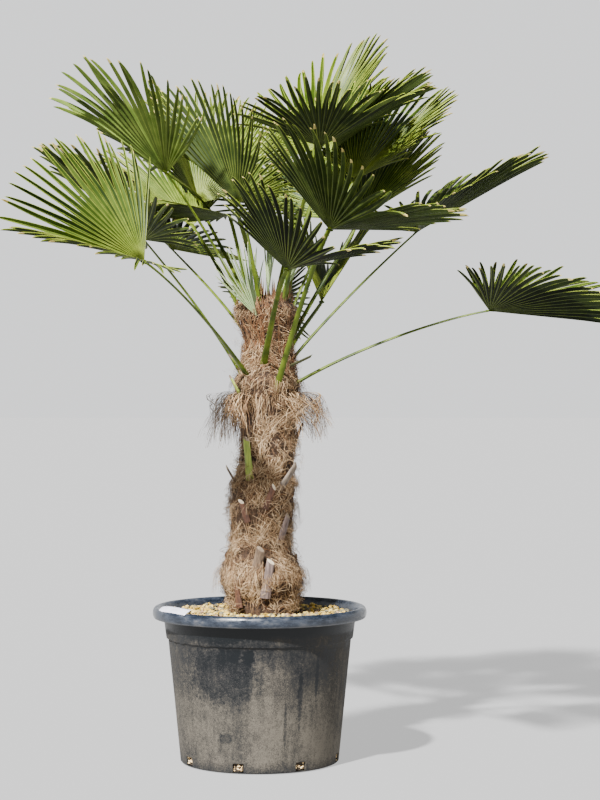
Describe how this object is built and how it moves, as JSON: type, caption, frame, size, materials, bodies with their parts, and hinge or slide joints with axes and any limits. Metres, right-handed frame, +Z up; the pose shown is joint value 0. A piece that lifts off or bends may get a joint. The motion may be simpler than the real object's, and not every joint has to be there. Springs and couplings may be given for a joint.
{
  "type": "potted windmill palm",
  "caption": "Windmill palm with one fibrous trunk, a full crown of stiff fan leaves on long stalks, and its round black nursery pot topped with gravel.",
  "frame": {"origin": "centre of the pot's flat underside, on the surface it stands on", "axes": "+Z up along the trunk; the picture looks along +Y, with +X to its right"},
  "size_m": [1.5221, 1.5799, 1.916],
  "materials": {
    "black_plastic": "black plastic, dull with a film of dried mud on the body, cleaner and satin on the rim",
    "gravel": "bark and peat mix under a layer of cream and yellow rounded gravel",
    "tag_white": "blank white plastic tag",
    "trunk_fibre_mat": "criss-cross brown fibre mat with cut leaf bases",
    "loose_fibre": "loose dry tan fibre",
    "leaf_green": "leathery mid to dark green leaf with paler ribs and edges",
    "stalk_green": "smooth yellow-green leaf stalk",
    "young_green": "pale grey-green young leaf"
  },
  "bodies": {
    "root": {"pot": "black_plastic", "growing_mix": "gravel", "tag": "tag_white", "trunk": "trunk_fibre_mat", "fibre_left": "loose_fibre", "fibre_right": "loose_fibre", "fibre_back": "loose_fibre", "stalk_left_high": "stalk_green", "blade_left_high": "leaf_green", "stalk_left_front": "stalk_green", "blade_left_front": "leaf_green", "stalk_left_mid": "stalk_green", "blade_left_mid": "leaf_green", "stalk_left_back": "stalk_green", "blade_left_back": "leaf_green", "stalk_left_dark": "stalk_green", "blade_left_dark": "leaf_green", "stalk_front_left": "stalk_green", "blade_front_left": "leaf_green", "stalk_front_right": "stalk_green", "blade_front_right": "leaf_green", "stalk_front_low": "stalk_green", "blade_front_low": "leaf_green", "stalk_centre_dark": "stalk_green", "blade_centre_dark": "leaf_green", "stalk_top": "stalk_green", "blade_top": "leaf_green", "stalk_right_high_back": "stalk_green", "blade_right_high_back": "leaf_green", "stalk_right_high": "stalk_green", "blade_right_high": "leaf_green", "stalk_right_mid": "stalk_green", "blade_right_mid": "leaf_green", "stalk_right": "stalk_green", "blade_right": "leaf_green", "stalk_right_far": "stalk_green", "blade_right_far": "leaf_green", "stalk_back_pale": "stalk_green", "blade_back_pale": "leaf_green", "stalk_back_low": "stalk_green", "blade_back_low": "leaf_green", "stalk_back_centre": "stalk_green", "blade_back_centre": "leaf_green", "stalk_back_right": "stalk_green", "blade_back_right": "leaf_green", "stalk_back_left": "stalk_green", "blade_back_left": "leaf_green", "stalk_back_top": "stalk_green", "blade_back_top": "leaf_green", "young_left": "young_green", "young_spear": "young_green", "young_right": "young_green"}
  },
  "joints": []
}
